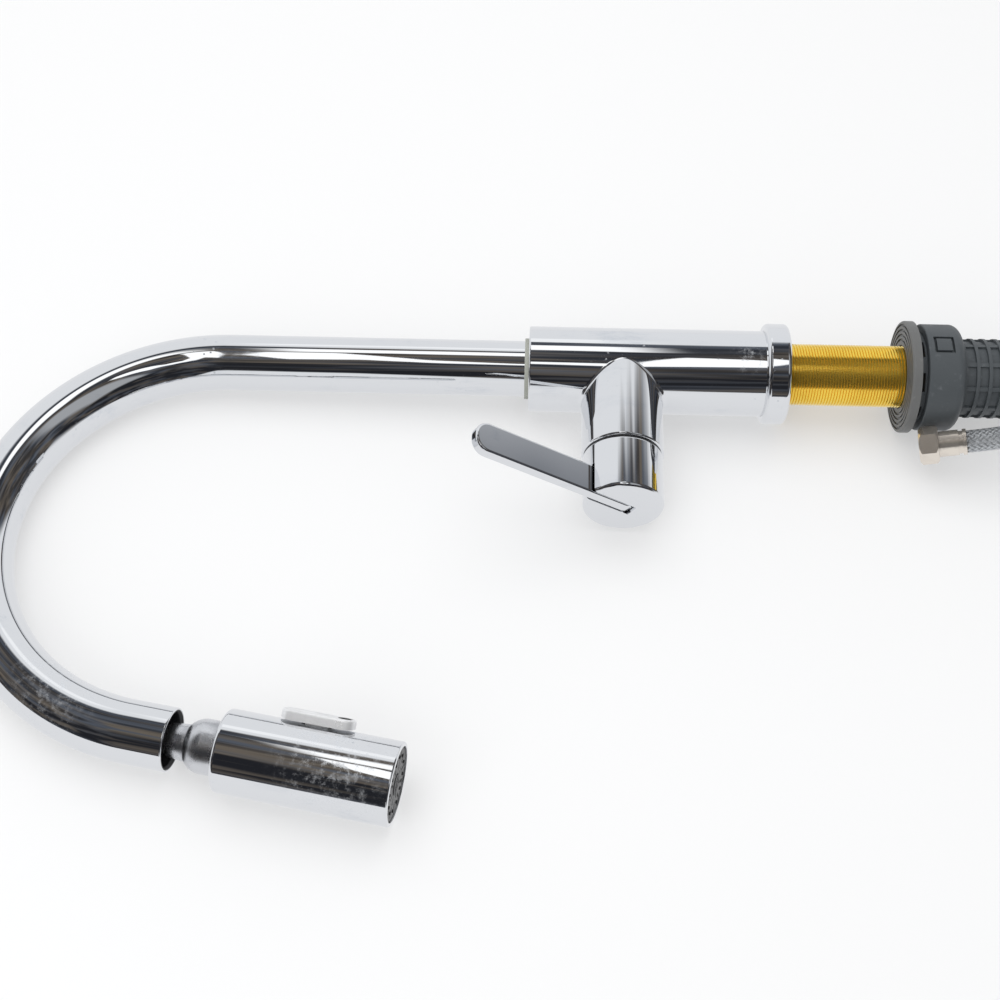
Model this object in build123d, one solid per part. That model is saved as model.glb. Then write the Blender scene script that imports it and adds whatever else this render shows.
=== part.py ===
from build123d import *
import os
from math import cos, pi, radians, sin, tan

# Pull-down kitchen faucet. Millimetres, +Z up the faucet.
# The origin is the centre of the deck seat; spout and handle point to -Y.

# Clearances
seat_gap = 0.05      # parts that stand still in each other
run_gap = 0.08       # parts that turn or slide in each other
free_gap = 0.4       # parts that pass each other
press_gap = 0.02     # pins that are pressed in
over = 1.0           # how far a cutter runs past the face that it cuts
near = 0.01          # how closely an edge is matched when it is picked

# Base
body_r = 23.0
body_top = 138.0
body_edge = 1.0
body_wall = 3.0
shank_r = 16.5       # M33, for a 35 mm deck hole
shank_bore_r = shank_r - 2.5
shank_end = -118.0
shank_grip = 17.0
flange_r = body_r + 4.0
flange_height = 12.5
flange_floor = 3.0
flange_edge = 2.25
gasket_inner_r = shank_r + 4.0
gasket_outer_r = gasket_inner_r + 2.0
gasket_depth = 2.0

# Spout and its swivel
spout_r = 15.0
spout_wall = 1.0
arch_r = 110.0
arch_start = 299.0
arch_turn = 170.0
outlet_run = 21.0
swivel_bore_r = spout_r + 3.0
swivel_depth = 30.0
thrust_thick = 1.0
foot_height = 15.0
foot_lip = 3.0
foot_lip_r = spout_r - 3.0
seal_r = 0.9
seal_room = 0.1      # around a seal in its groove
seal_places = (2.4, 6.2)  # above the foot's underside
lip_height = 2.2
lip_r = spout_r + 1.4
lock_screw_r = 1.5
lock_drop = 3.0      # from the foot's top to the lock screw
lock_play = 0.6
lock_groove_depth = 0.9
lock_tip_gap = 0.3
lock_sink = 0.6
lock_socket_r = 0.825
lock_socket_depth = 1.6
liner_length = 20.0
liner_gap = 0.12     # around the head's neck when it is docked
liner_lead = 0.7
liner_lead_depth = 1.5

# Valve branch and cartridge, measured outwards from the faucet axis
branch_r = body_r - 1.5
branch_roof = 2.4    # wall between the cartridge chamber and the swivel
branch_end = 57.0
branch_blend = 2.5
branch_edge = 1.0
chamber_r = branch_r - 3.9
chamber_back = 16.0
cartridge_length = 30.0
cartridge_wall = 3.0
cartridge_base = 4.0
port_count = 3
port_first = 90.0    # degrees around the branch
port_r = 2.6
port_ring_r = 8.0
disc_thick = 4.0
carrier_r = 6.5
stem_r = 3.5
socket_r = 6.0
socket_rise = 3.2    # of the socket's rim above the ball's middle
socket_floor = 2.0
socket_room = 0.6    # under the ball
ball_gap = 0.2
cartridge_nut_bore_r = chamber_r - 3.8
cartridge_nut_drop = 0.2
spigot_length = 7.0
spigot_wall = 1.5
glide_thick = 0.8
glide_inset = 0.6

# Handle
hub_r = branch_r - 0.7
hub_end = 88.3
hub_edge = 2.0
hub_start_edge = 1.2
hub_cavity_r = hub_r - 5.3
hub_floor = 2.5
hub_screw_r = 1.6
hub_screw_at = 3.2   # from the hub's start
hub_screw_tip = 0.4
hub_screw_sink = 0.7
hub_screw_play = 0.3
hub_groove_depth = 0.7
hub_socket_r = 0.9
hub_socket_depth = 1.7
lever_angle = 33.0   # from upright, about the branch
lever_reach = 89.5
lever_width = 17.0
lever_thick = 6.0
lever_shift = 0.4    # the blade sits to one side of its slot
lever_tip_round = 7.5
lever_edge = 1.2
slot_width = 7.4
slot_back = 5.5
lever_pin_r = 1.5
lever_pin_length = 24.0
heel_drop = 17.5     # from lever pin to the ball that drives the carrier
heel_swing = 0.65    # length of the heel's window over its drop
heel_r = 1.8
heel_room = 1.2
heel_root = 2.0
ball_r = 3.0

# Spray head, measured along its own axis from the shoulder
head_pull = 24.0     # how far it stands out of its dock
head_r = 19.5
head_length = 83.0
head_wall = 2.0
head_top_wall = 3.0
head_edge = 2.0
head_mouth_edge = 0.8
neck_r = spout_r - 2.2
neck_step = 1.5      # the neck is narrower by this where it goes into the shell
neck_length = 16.0
neck_straight = 8.0  # from the shoulder to where the neck rounds in
neck_tip_r = 9.0
neck_bore_r = 7.6
cone_length = 9.0
cone_tip_r = 8.0
cone_inset = 0.3
cone_rim = 1.5
spray_hose_r = 5.0
spray_hose_wall = 1.5
ferrule_r = 6.6
ferrule_length = 16.0
ferrule_overlap = 3.0  # how far it goes down into the dock cone
ferrule_grooves = 3
ferrule_groove_first = 6.0
ferrule_groove_pitch = 3.5
ferrule_groove_width = 1.4
ferrule_groove_depth = 0.5
swivel_nut_length = 10.0
swivel_nut_step = 0.3
swivel_nut_bore_r = 3.0
core_r = head_r - 5.5
core_drop = 6.0      # from the shoulder to the core's top
core_spigot = 4.0    # above the shoulder
valve_bore_r = 4.5
valve_bore_depth = 20.0
valve_sink = 4.0
valve_length = 12.0
valve_port_r = 1.8
valve_port_depth = 8.0
face_r = head_r - 2.3
face_thick = 3.0
face_recess = 0.8
face_rim = 1.5       # outside the slots, and around the aerator
slot_count = 12
slot_wide = 1.6
slot_land = 0.8      # between the two rings of slots
inner_slot_count = 8
inner_slot_length = 3.4
inner_slot_wide = 1.4
inner_slot_turn = 15.0
nozzle_r = 0.8
nozzle_rise = 0.6
nozzle_bore_r = 0.32
nozzle_bore_depth = 1.0
aerator_r = 5.0
aerator_rise = 0.4
aerator_holes = 6
aerator_ring_r = 2.6
aerator_hole_r = 0.7
aerator_hole_depth = 1.5
toggle_turn = 60.0   # around the head from +X
toggle_below = 0.5   # below the middle of the head
toggle_length = 35.0
toggle_width = 11.0
toggle_rise = 5.2    # above the head's surface
toggle_gap = 1.2     # room to rock
toggle_edge = 1.3
toggle_foot = 6.0
toggle_foot_length = 10.5
toggle_foot_sink = 3.0
toggle_foot_room = 1.0
toggle_window = 14.0
toggle_pocket = 15.75
toggle_pocket_depth = 6.0
toggle_pin_r = 1.2
toggle_pin_sink = 0.5
toggle_pin_grip = 2.8
pad_r = 3.4
pad_depth = 1.5
pad_sink = 0.2
pad_dish = 0.9
pad_dish_r = 5.2

# Mounting nut on the shank
nut_top = -61.5
nut_thread_gap = 0.15
washer_r = shank_r + 13.5
washer_thick = 5.0
washer_edge = 1.2
washer_rings = 4
washer_inner_land = 2.0
washer_outer_land = 1.0
washer_groove = 1.2
washer_groove_depth = 0.8
crown_r = shank_r + 7.5
crown_height = 4.0
crown_slots = 8
crown_slot_width = 10.0
crown_slot_floor = 1.0
collar_r = shank_r + 12.0
collar_length = 20.0
collar_round = 5.0
collar_edge = 0.8
latch_size = 10.5
latch_depth = 2.4
latch_gap = 1.4
latch_drop = 8.4     # from the collar's top to the latch's middle
sleeve_bore_r = shank_r + 1.5
sleeve_r = sleeve_bore_r + 3.3
sleeve_length = 47.0
sleeve_wall = 1.7
sleeve_rings = 8
sleeve_ribs = 10
sleeve_rib_turn = 18.0
ring_width = 1.8
rib_width = 2.2
rib_sink = 0.5       # the ribs stay below the rings

# Supply side
stub_r = 3.6
stub_bore_r = 2.4
stub_grip = 10.0
stub_side = (-0.6, -0.8)  # direction of the cold stub from the shank's axis
hose_passage_r = 5.6
guide_plug = 8.0
guide_flange = 6.0
guide_flange_r = shank_r - 0.5
hose_r = 6.0
hose_first_run = 47.0
bend_share = 0.45    # of the shorter run, taken up by a bend
hose_collar_r = 6.9
hose_collar_length = 2.0
crimp_r = 6.8
crimp_bore_r = 3.2
crimp_neck_r = 6.0
crimp_neck_length = 2.0
crimp_length = 10.0
flare_neck_r = 4.8
hex_flat = 17.5
hex_length = 10.0
hex_chamfer = 1.6
hex_cap = 0.59       # radius of the chamfer's cone over the flats, just past the corners
hex_bore_r = 6.6     # 9/16-24 thread, at its inner diameter
hex_bore_length = 5.5
hex_web = 1.2
hex_seat_r = 6.3
hose_seal_thick = 1.5
hose_seal_bore_r = 3.4
clip_height = 8.0
clip_wall = 4.0
clip_end_wall = 5.0
clip_points = (1, 10)  # the two route points that the hose clip holds together

# Heights worked out from the sizes above
swivel_floor = body_top - swivel_depth
branch_height = swivel_floor - branch_roof - chamber_r
foot_bottom = swivel_floor + thrust_thick + run_gap
foot_top = foot_bottom + foot_height
tube_bottom = foot_bottom + foot_lip
seal_heights = [foot_bottom + place for place in seal_places]
lock_height = foot_top - lock_drop
shank_top = flange_floor + shank_grip
stub_top = shank_top + stub_grip
guide_bottom = shank_end - guide_flange
spout_bore_r = spout_r - spout_wall
liner_bore_r = neck_r + liner_gap
cartridge_top = chamber_back + cartridge_length
disc_top = chamber_back + cartridge_base + disc_thick
hub_start = branch_end + glide_thick + run_gap
hub_screw_out = hub_start + hub_screw_at
pin_out = hub_end - lever_width / 2
pocket_r = lever_width / 2 + free_gap
hub_cavity_top = pin_out - pocket_r - hub_floor
ball_out = pin_out - heel_drop
socket_top = ball_out + socket_rise
socket_bottom = ball_out - ball_r - socket_room
ferrule_low = neck_length + cone_length - ferrule_overlap
core_top = -core_drop
face_low = face_recess - head_length
face_top = face_low + face_thick
inner_slot_low = aerator_r + face_rim
slot_low = inner_slot_low + inner_slot_length + slot_land
slot_high = face_r - face_rim
toggle_top = head_r + toggle_rise
nut_bore_r = shank_r + nut_thread_gap
washer_bottom = nut_top - washer_thick
crown_bottom = washer_bottom - crown_height
collar_bottom = crown_bottom - collar_length
sleeve_bottom = collar_bottom - sleeve_length
crimp_low = hose_collar_length + crimp_neck_length
hex_low = crimp_low + crimp_length + run_gap
hex_top = hex_low + hex_length
flare_top = hex_top - hex_bore_length - hose_seal_thick

# The outlet leans out of the plumb line by what the arch lacks of a half turn
outlet_tilt = 180.0 - arch_turn
outlet_dir = Vector(0, -sin(radians(outlet_tilt)), -cos(radians(outlet_tilt)))
arch_end = Vector(
    0,
    -arch_r - arch_r * cos(radians(outlet_tilt)),
    arch_start + arch_r * sin(radians(outlet_tilt)),
)
mouth = arch_end + outlet_dir * outlet_run

# Supply hose: straight down out of its guide, round one loop,
# back up through the clip and out beside the nut
stub_reach = shank_bore_r - stub_r - free_gap
stub_at = (stub_side[0] * stub_reach, stub_side[1] * stub_reach)
hose_route = [
    (*stub_at, guide_bottom),
    (*stub_at, guide_bottom - hose_first_run),
    (-4.5, 18.5, -209.5),
    (-3, 51.4, -243.5),
    (-1.5, 48.9, -290.7),
    (0, 14.9, -323.6),
    (1.5, -32.3, -324.4),
    (3, -66, -293),
    (4.5, -66, -247),
    (5.5, -33, -210),
    (5, -20, -168),
    (8, -42, -128),
    (-2.9, -39.8, -92.8),
]

# Frames of the branch, the handle, the spray head, its toggle and the hose's end
branch = Plane(origin=(0, 0, branch_height), x_dir=(1, 0, 0), z_dir=(0, -1, 0))
handle = branch * Rot(0, 0, -lever_angle)
across_hub = Plane(origin=(0, 0, pin_out), x_dir=(0, 1, 0), z_dir=(1, 0, 0))
under_hub = Plane(origin=(0, 0, hub_screw_out), x_dir=(1, 0, 0), z_dir=(0, -1, 0))
behind_body = Plane(origin=(0, 0, lock_height), x_dir=(1, 0, 0), z_dir=(0, 1, 0))
dock_place = Pos(*mouth) * Rot(-outlet_tilt, 0, 0)
head_place = Pos(*(mouth + outlet_dir * head_pull)) * Rot(-outlet_tilt, 0, 0)
toggle_middle = -head_length / 2 - toggle_below
toggle_frame = Rot(0, 0, toggle_turn) * Pos(0, 0, toggle_middle) * Rot(0, 90, 0) * Rot(0, 0, 90)
toggle_axis = Plane(origin=(0, 0, core_r - toggle_pin_sink), x_dir=(0, 1, 0), z_dir=(1, 0, 0))
pad_place = Pos(0, toggle_width / 2 - toggle_length / 2, 0)
hose_end = Vector(*hose_route[-1])
hose_end_frame = Plane(origin=hose_end, z_dir=hose_end - Vector(*hose_route[-2]))

upwards = (Align.CENTER, Align.CENTER, Align.MIN)


def rod(radius, low, high):
    return Pos(0, 0, low) * Cylinder(radius, high - low, align=upwards)


def tube(outer_r, inner_r, low, high):
    return rod(outer_r, low, high) - rod(inner_r, low - over, high + over)


def groove(outer_r, depth, middle, width):
    return tube(outer_r + over, outer_r - depth, middle - width / 2, middle + width / 2)


def block(size_x, size_y, low, high):
    return Pos(0, 0, low) * Box(size_x, size_y, high - low, align=upwards)


def around(count, radius=0.0, first=0.0):
    return [Rot(0, 0, first + 360 * i / count) * Pos(radius, 0, 0) for i in range(count)]


def turned(*points):
    outline = Plane.XZ * make_face(Polyline(*points, close=True))
    return revolve(outline, Axis.Z)


def edges_at(shape, height, radius):
    picked = shape.edges().filter_by(GeomType.CIRCLE)
    return [e for e in picked if abs(e.center().Z - height) < near and abs(e.radius - radius) < near]


def save(name, shape):
    solids = shape if isinstance(shape, list) else shape.solids()
    export_step(solids[0] if len(solids) == 1 else Compound(children=list(solids)), f"parts/{name}.step")


# Base: flange, body, shank and what the water comes in by
def base_flange():
    ring = tube(flange_r, body_r + seat_gap, 0, flange_height)
    ring += tube(body_r + over, shank_r + free_gap, 0, flange_floor)
    ring = fillet(edges_at(ring, flange_height, flange_r) + edges_at(ring, 0, flange_r), flange_edge)
    return ring - tube(gasket_outer_r, gasket_inner_r, 0, gasket_depth)


def flange_gasket():
    return tube(gasket_outer_r - seat_gap, gasket_inner_r + seat_gap, 0, gasket_depth)


def stub_places():
    return [Pos(side * stub_at[0], stub_at[1], 0) for side in (-1, 1)]


def valve_body():
    arm = rod(branch_r, 0, branch_end)
    arm = fillet(edges_at(arm, branch_end, branch_r), branch_edge)
    body = rod(body_r, flange_floor, body_top) + branch * arm
    seam = [e for e in body.edges() if e.geom_type not in (GeomType.CIRCLE, GeomType.LINE)]
    body = fillet(seam, branch_blend)
    body = fillet(edges_at(body, body_top, body_r), body_edge)
    body -= rod(swivel_bore_r, swivel_floor, body_top + over)
    body -= rod(hose_passage_r, flange_floor, body_top)
    body -= rod(chamber_back - body_wall, stub_top + body_wall, swivel_floor - 2 * body_wall)
    body -= rod(shank_r + seat_gap, 0, shank_top)
    for place in stub_places():
        body -= place * rod(stub_r + seat_gap, 0, stub_top)
    body -= branch * rod(chamber_r, chamber_back, branch_end + over)
    return body - behind_body * rod(lock_screw_r + seat_gap, swivel_bore_r - 2 * over, body_r + over)


def threaded_shank():
    return tube(shank_r, shank_bore_r, shank_end, shank_top)


def hot_inlet_stub():
    return stub_places()[0] * tube(stub_r, stub_bore_r, guide_bottom, stub_top)


def cold_inlet_stub():
    return stub_places()[1] * tube(stub_r, stub_bore_r, guide_bottom, stub_top)


def hose_guide():
    plug_top = shank_end + guide_plug
    guide = rod(guide_flange_r, guide_bottom, shank_end)
    guide += rod(shank_bore_r - seat_gap, shank_end, plug_top)
    guide -= rod(hose_passage_r, guide_bottom - over, plug_top + over)
    for place in stub_places():
        guide -= place * rod(stub_r + seat_gap, guide_bottom - over, plug_top + over)
    return guide


# Swivel joint of the spout
def thrust_washer():
    return tube(swivel_bore_r - seat_gap, foot_lip_r, swivel_floor, swivel_floor + thrust_thick)


def swivel_bush():
    bush = tube(swivel_bore_r - seat_gap, spout_r + run_gap, foot_top + run_gap, body_top)
    return bush + tube(lip_r, spout_r + run_gap, body_top, body_top + lip_height)


def spout_foot():
    outer = swivel_bore_r - run_gap
    foot = tube(outer, foot_lip_r, foot_bottom, foot_top)
    foot -= rod(spout_r + seat_gap, tube_bottom, foot_top + over)
    for height in seal_heights:
        foot -= groove(outer, 2 * seal_r + seal_room, height, 2 * (seal_r + seal_room))
    return foot - groove(outer, lock_groove_depth, lock_height, 2 * lock_screw_r + lock_play)


def spout_seals():
    major = swivel_bore_r - run_gap - seal_r - seat_gap
    return [Pos(0, 0, height) * Torus(major, seal_r) for height in seal_heights]


def lock_screw():
    head = body_r - lock_sink
    screw = rod(lock_screw_r, swivel_bore_r - lock_groove_depth + lock_tip_gap, head)
    return behind_body * (screw - rod(lock_socket_r, head - lock_socket_depth, head + over))


def spout_path(low, run):
    rise = Line((0, 0, low), (0, 0, arch_start))
    arch = CenterArc((0, 0, 0), arch_r, 0, arch_turn)
    arch = Plane(origin=(0, -arch_r, arch_start), x_dir=(0, 1, 0), z_dir=(1, 0, 0)) * arch
    end = Line(arch_end, arch_end + outlet_dir * run)
    return Wire([rise, arch.edge(), end])


def spout_tube():
    ring = Circle(spout_r) - Circle(spout_bore_r)
    return sweep(Pos(0, 0, tube_bottom) * ring, path=spout_path(tube_bottom, outlet_run))


def outlet_liner():
    lead = turned((liner_bore_r, 0), (liner_bore_r + liner_lead, 0), (liner_bore_r, liner_lead_depth))
    return dock_place * (tube(spout_bore_r - seat_gap, liner_bore_r, 0, liner_length) - lead)


def spray_hose():
    run = outlet_run + head_pull - ferrule_low - ferrule_length
    disc = Pos(0, 0, guide_bottom) * Circle(spray_hose_r)
    return sweep(disc, path=spout_path(guide_bottom, run))


# Valve cartridge in the branch
def port_places():
    return around(port_count, port_ring_r, port_first)


def cartridge_body():
    outer = chamber_r - seat_gap
    floor = chamber_back + cartridge_base
    cup = rod(outer, chamber_back, cartridge_top)
    cup -= rod(outer - cartridge_wall, floor, cartridge_top + over)
    for place in port_places():
        cup -= place * rod(port_r, chamber_back - over, floor + over)
        seat_r = port_r + 2 * (seal_r + seal_room)
        cup -= place * rod(seat_r, chamber_back - over, chamber_back + 2 * seal_r)
    return branch * cup


def cartridge_seals():
    ring = Pos(0, 0, chamber_back + seal_r) * Torus(port_r + seal_r + seal_room, seal_r - seat_gap)
    return [branch * place * ring for place in port_places()]


def fixed_disc():
    disc = rod(chamber_r - cartridge_wall - 2 * seat_gap, chamber_back + cartridge_base, disc_top)
    for place in port_places():
        disc -= place * rod(port_r, chamber_back, disc_top + over)
    return branch * disc


def disc_carrier():
    carrier = rod(carrier_r, disc_top + run_gap, disc_top + disc_thick)
    carrier += rod(stem_r, disc_top + disc_thick, socket_bottom)
    carrier += rod(socket_r, socket_bottom - socket_floor, socket_top)
    return handle * (carrier - rod(ball_r + ball_gap, socket_bottom, socket_top + over))


def cartridge_nut():
    top = branch_end - cartridge_nut_drop
    spigot_r = hub_cavity_r - run_gap
    bore_r = spigot_r - spigot_wall
    nut = tube(chamber_r - seat_gap, cartridge_nut_bore_r, cartridge_top, top)
    nut += tube(spigot_r, bore_r, branch_end - over, branch_end + spigot_length)
    nut -= rod(bore_r, top, branch_end + spigot_length + over)
    groove_width = 2 * (hub_screw_r + hub_screw_play)
    return branch * (nut - groove(spigot_r, hub_groove_depth, hub_screw_out, groove_width))


def glide_ring():
    return branch * tube(hub_r - glide_inset, chamber_r + free_gap, branch_end, branch_end + glide_thick)


# Handle
def handle_hub():
    hub = rod(hub_r, hub_start, hub_end)
    hub = fillet(edges_at(hub, hub_end, hub_r), hub_edge)
    hub = fillet(edges_at(hub, hub_start, hub_r), hub_start_edge)
    hub -= rod(hub_cavity_r, hub_start - over, hub_cavity_top)
    slot_length = hub_r + over + slot_back
    slot = block(slot_width, slot_length, pin_out - pocket_r, hub_end + over)
    slot = Pos(0, slot_length / 2 - slot_back, 0) * slot
    slot -= Pos(0, -slot_back, 0) * block(slot_width, 2 * slot_back, 0, pin_out)
    hub -= slot + across_hub * rod(pocket_r, -slot_width / 2, slot_width / 2)
    window_length = heel_swing * heel_drop
    window = block(2 * heel_r + heel_room, window_length, hub_cavity_top - over, pin_out)
    hub -= Pos(0, window_length / 2 - heel_r - heel_room, 0) * window
    hub -= across_hub * rod(lever_pin_r + press_gap, -lever_pin_length / 2, lever_pin_length / 2)
    return handle * (hub - under_hub * rod(hub_screw_r + seat_gap, hub_cavity_r - over, hub_r + over))


def hub_screw():
    head = hub_r - hub_screw_sink
    screw = rod(hub_screw_r, hub_cavity_r - run_gap - hub_screw_tip, head)
    return handle * (under_hub * (screw - rod(hub_socket_r, head - hub_socket_depth, head + over)))


def lever_pin():
    return handle * (across_hub * rod(lever_pin_r, -lever_pin_length / 2, lever_pin_length / 2))


def lever_blade():
    half = lever_width / 2
    straight = lever_reach - lever_tip_round
    outline = Circle(half) + Pos(straight / 2, 0) * Rectangle(straight, lever_width)
    outline += Pos(lever_reach / 2, 0) * Rectangle(lever_reach, lever_width - 2 * lever_tip_round)
    for side in (-1, 1):
        outline += Pos(straight, side * (half - lever_tip_round)) * Circle(lever_tip_round)
    blade = extrude(outline, lever_thick)
    rims = [e for e in blade.edges() if min(abs(e.center().Z), abs(e.center().Z - lever_thick)) < near]
    blade = fillet(rims, lever_edge)
    blade = across_hub * Pos(0, 0, -lever_thick / 2 - lever_shift) * blade
    blade -= across_hub * rod(lever_pin_r + run_gap, -lever_thick, lever_thick)
    blade += rod(heel_r, ball_out, pin_out - half + heel_root)
    return handle * (blade + Pos(0, 0, ball_out) * Sphere(ball_r))


# Spray head, built on its own axis with the shoulder at height 0
def head_shell():
    shell = rod(head_r, -head_length, 0)
    shell = fillet(edges_at(shell, 0, head_r), head_edge)
    shell = fillet(edges_at(shell, -head_length, head_r), head_mouth_edge)
    shell -= rod(head_r - head_wall, -head_length - over, -head_top_wall)
    shell -= rod(neck_r - neck_step, -head_top_wall - over, over)
    window = block(toggle_foot + toggle_foot_room, toggle_window, 0, head_r + over)
    return head_place * (shell - toggle_frame * window)


def head_neck():
    tenon_r = neck_r - neck_step - seat_gap
    outline = Polyline((tenon_r, -head_top_wall), (tenon_r, 0), (neck_r, 0), (neck_r, neck_straight))
    outline += TangentArc((neck_r, neck_straight), (neck_tip_r, neck_length), tangent=(0, 1))
    outline += Polyline(
        (neck_tip_r, neck_length), (neck_bore_r, neck_length),
        (neck_bore_r, -head_top_wall), (tenon_r, -head_top_wall),
    )
    return head_place * revolve(Plane.XZ * make_face(outline.edges()), Axis.Z)


def dock_cone():
    top = neck_length + cone_length
    bore = ferrule_r + free_gap
    rim_r = neck_tip_r - cone_inset
    return head_place * turned(
        (bore, neck_length), (rim_r, neck_length), (rim_r, neck_length + cone_rim),
        (cone_tip_r, top), (bore, top),
    )


def hose_ferrule():
    ferrule = tube(ferrule_r, spray_hose_r - spray_hose_wall, ferrule_low, ferrule_low + ferrule_length)
    for i in range(ferrule_grooves):
        height = ferrule_low + ferrule_groove_first + ferrule_groove_pitch * i
        ferrule -= groove(ferrule_r, ferrule_groove_depth, height, ferrule_groove_width)
    return head_place * ferrule


def swivel_nut():
    low = neck_length - swivel_nut_length
    step = neck_length - free_gap
    nut = rod(neck_bore_r - free_gap, low, step) + rod(ferrule_r - swivel_nut_step, step, ferrule_low)
    return head_place * (nut - rod(swivel_nut_bore_r, low - over, ferrule_low + over))


def head_core():
    core = rod(core_r, face_top, core_top) + rod(neck_bore_r - seat_gap, core_top, core_spigot)
    core -= rod(valve_bore_r, core_top - valve_bore_depth, core_spigot + over)
    pocket_wide = toggle_foot + 2 * toggle_foot_room
    core -= toggle_frame * block(pocket_wide, toggle_pocket, core_r - toggle_pocket_depth, core_r + over)
    pin_hole = toggle_axis * rod(toggle_pin_r + seat_gap, -toggle_foot, toggle_foot)
    return head_place * (core - toggle_frame * pin_hole)


def check_valve():
    top = core_top - valve_sink
    low = top - valve_length
    valve = rod(valve_bore_r - 2 * seat_gap, low, top)
    return head_place * (valve - rod(valve_port_r, low - over, low + valve_port_depth))


def face_slots():
    slot = block(slot_high - slot_low, slot_wide, face_low - over, face_top + over)
    inner_slot = block(inner_slot_length, inner_slot_wide, face_low - over, face_top + over)
    inner_ring_r = inner_slot_low + inner_slot_length / 2
    slots = [place * slot for place in around(slot_count, (slot_low + slot_high) / 2)]
    return slots + [place * inner_slot for place in around(inner_slot_count, inner_ring_r, inner_slot_turn)]


def nozzle_places():
    return around(slot_count, (slot_low + slot_high) / 2, 180 / slot_count)


def spray_face():
    face = rod(face_r, face_low, face_top)
    for slot in face_slots():
        face -= slot
    face -= rod(aerator_r + seat_gap, face_low - over, face_top + over)
    for place in nozzle_places():
        face -= place * rod(nozzle_r + seat_gap, face_low - over, face_top + over)
    return head_place * face


def nozzle_inserts():
    tip = face_low - nozzle_rise
    peg = rod(nozzle_r, tip, face_top)
    peg -= rod(nozzle_bore_r, tip - over, face_low + nozzle_bore_depth)
    return [head_place * place * peg for place in nozzle_places()]


def aerator_insert():
    low = face_low - aerator_rise
    insert = rod(aerator_r, low, face_top)
    for place in around(aerator_holes, aerator_ring_r) + [Pos(0, 0, 0)]:
        insert -= place * rod(aerator_hole_r, low - over, face_low + aerator_hole_depth)
    return head_place * insert


def spray_toggle():
    bar = SlotOverall(toggle_length, toggle_width, rotation=90)
    toggle = extrude(Pos(0, 0, head_r - toggle_gap) * bar, toggle_rise + toggle_gap)
    toggle = fillet(toggle.faces().sort_by(Axis.Z)[-1].edges(), toggle_edge)
    toggle -= Rot(90, 0, 0) * Cylinder(head_r + toggle_gap, 2 * toggle_length)
    toggle += block(toggle_foot, toggle_foot_length, core_r - toggle_foot_sink, head_r + toggle_gap + over)
    toggle -= pad_place * rod(pad_r + seat_gap, toggle_top - pad_depth, toggle_top + over)
    toggle -= toggle_axis * rod(toggle_pin_r + run_gap, -toggle_foot, toggle_foot)
    return head_place * toggle_frame * toggle


def toggle_pad():
    pad = rod(pad_r, toggle_top - pad_depth, toggle_top - pad_sink)
    pad -= Pos(0, 0, toggle_top - pad_dish + pad_dish_r) * Sphere(pad_dish_r)
    return head_place * toggle_frame * pad_place * pad


def toggle_pin():
    half = toggle_foot / 2 + toggle_pin_grip
    return head_place * toggle_frame * (toggle_axis * rod(toggle_pin_r, -half, half))


# Mounting nut
def nut_washer():
    washer = tube(washer_r, nut_bore_r + free_gap, washer_bottom, nut_top)
    washer = fillet(edges_at(washer, nut_top, washer_r), washer_edge)
    first = nut_bore_r + washer_inner_land
    pitch = (washer_r - washer_outer_land - first) / washer_rings
    for i in range(washer_rings):
        middle = first + pitch * (i + 0.5)
        washer -= tube(middle + washer_groove / 2, middle - washer_groove / 2,
                       nut_top - washer_groove_depth, nut_top + over)
    return washer


def nut_collar():
    collar = rod(collar_r, collar_bottom, crown_bottom)
    collar = fillet(edges_at(collar, collar_bottom, collar_r), collar_round)
    collar = fillet(edges_at(collar, crown_bottom, collar_r), collar_edge)
    collar += rod(crown_r, crown_bottom, washer_bottom)
    slot_length = 2 * (crown_r - nut_bore_r + over)
    slot = block(slot_length, crown_slot_width, crown_bottom + crown_slot_floor, washer_bottom + over)
    for place in around(crown_slots, crown_r):
        collar -= place * slot
    collar -= rod(nut_bore_r, collar_bottom - over, nut_top)
    tongue = latch_size - 2 * latch_gap
    frame = Box(2 * latch_depth, latch_size, latch_size) - Box(2 * latch_depth + over, tongue, tongue)
    return collar - Pos(collar_r, 0, crown_bottom - latch_drop) * frame


def nut_sleeve():
    wall_r = sleeve_bore_r + sleeve_wall
    rise = sleeve_r - wall_r
    sleeve = rod(wall_r, sleeve_bottom, collar_bottom)
    pitch = (sleeve_length - ring_width) / (sleeve_rings - 1)
    for i in range(sleeve_rings):
        low = sleeve_bottom + pitch * i
        sleeve += rod(sleeve_r, low, low + ring_width)
    rib = Pos(wall_r - rib_sink, 0, 0) * block(2 * rise, rib_width, sleeve_bottom, collar_bottom)
    for place in around(sleeve_ribs, 0, sleeve_rib_turn):
        sleeve += place * rib
    sleeve &= rod(sleeve_r, sleeve_bottom, collar_bottom)
    return sleeve - rod(sleeve_bore_r, sleeve_bottom - over, collar_bottom + over)


# Supply hose and its end, built along the hose's last run
def hose_path():
    points = [Vector(*p) for p in hose_route]
    radii = []
    for before, here, after in zip(points, points[1:], points[2:]):
        turn = (here - before).get_angle(after - here)
        shorter = min((here - before).length, (after - here).length)
        radii.append(bend_share * shorter / tan(radians(turn / 2)))
    print("hose bend radii", [round(r, 1) for r in radii])
    return FilletPolyline(*points, radius=radii)


def swept_hose(radius):
    path = hose_path()
    start = Plane(origin=path @ 0, z_dir=path % 0)
    hose = sweep(start * Circle(radius), path=path)
    error = hose.volume / (pi * radius**2 * path.length) - 1
    print("hose length", round(path.length, 1), "volume error", round(error, 5))
    return hose


def supply_hose():
    return swept_hose(hose_r)


def hose_collar():
    return hose_end_frame * rod(hose_collar_r, 0, hose_collar_length)


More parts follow.
